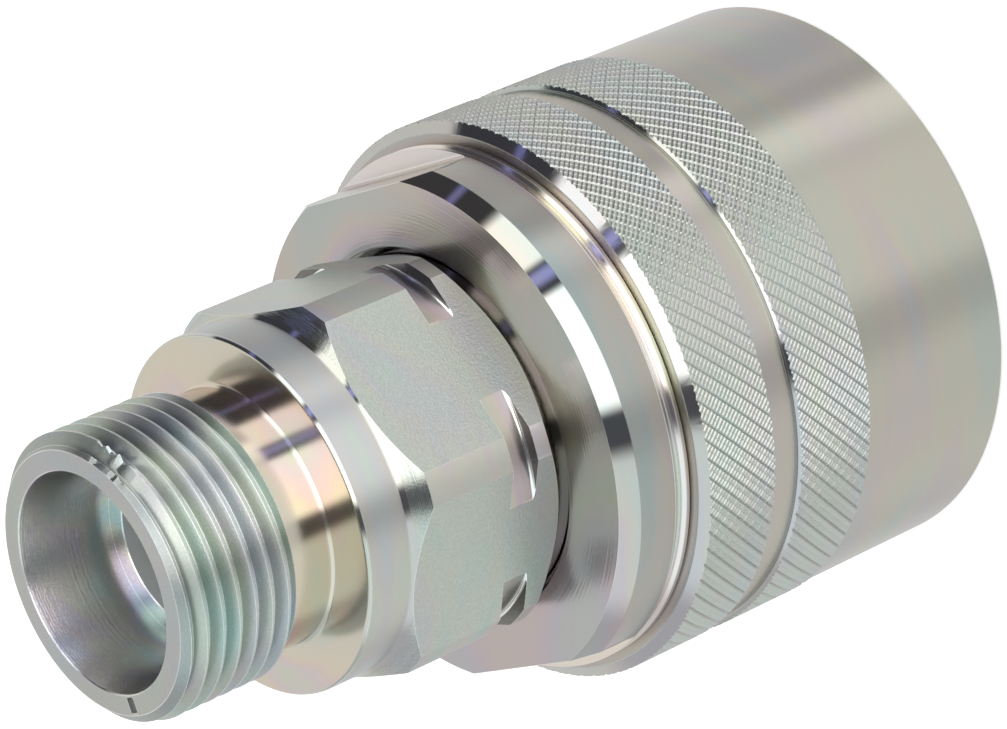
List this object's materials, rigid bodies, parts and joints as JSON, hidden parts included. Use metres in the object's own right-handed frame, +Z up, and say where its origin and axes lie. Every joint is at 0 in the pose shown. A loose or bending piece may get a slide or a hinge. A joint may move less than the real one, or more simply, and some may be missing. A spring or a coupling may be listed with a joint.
{
  "type": "hydraulic quick coupler",
  "caption": "Screw-to-connect hydraulic coupling half with a knurled turning sleeve, wrench flats, a hexagon and a male tube port.",
  "frame": {"origin": "on the axis, at the mouth of the union sleeve, on which the part stands", "axes": "+Z up along the axis to the port thread; the wrench flats of the flange face +Y and -Y"},
  "size_m": [0.06, 0.06, 0.0959],
  "materials": {
    "plated_steel": "zinc plated, satin",
    "spring_steel": "bright",
    "bronze": "machined",
    "nitrile": "matt",
    "ptfe": "matt",
    "seal_polymer": "satin"
  },
  "bodies": {
    "coupling_body": {"end_adapter": "plated_steel", "adapter_o_ring": "nitrile", "adapter_backup_ring": "ptfe", "valve_body": "plated_steel", "wiper_ring": "plated_steel", "thrust_washer": "bronze", "sleeve_circlip": "spring_steel", "dust_o_ring": "nitrile", "nose_o_ring": "nitrile", "nose_backup_ring": "ptfe", "valve_spring": "spring_steel", "spring_washer": "plated_steel", "valve_guide": "plated_steel", "guide_bush": "bronze", "guide_circlip": "spring_steel"},
    "sleeve": {"union_sleeve": "plated_steel"},
    "valve": {"poppet": "plated_steel", "poppet_seal": "seal_polymer", "seal_retainer": "plated_steel", "retainer_nut": "plated_steel", "stem_circlip": "spring_steel"}
  },
  "joints": [
    {"name": "sleeve_spin", "type": "hinge", "parent": "coupling_body", "child": "sleeve", "pos_m": [0, 0, 0.037], "axis": [0, 0, 1], "continuous": true},
    {"name": "valve_slide", "type": "slide", "parent": "coupling_body", "child": "valve", "axis": [0, 0, 1], "range_m": [0, 0.0055], "stiffness_N_per_m": 2500, "springref_m": -0.01, "deforming": ["valve_spring"]}
  ]
}
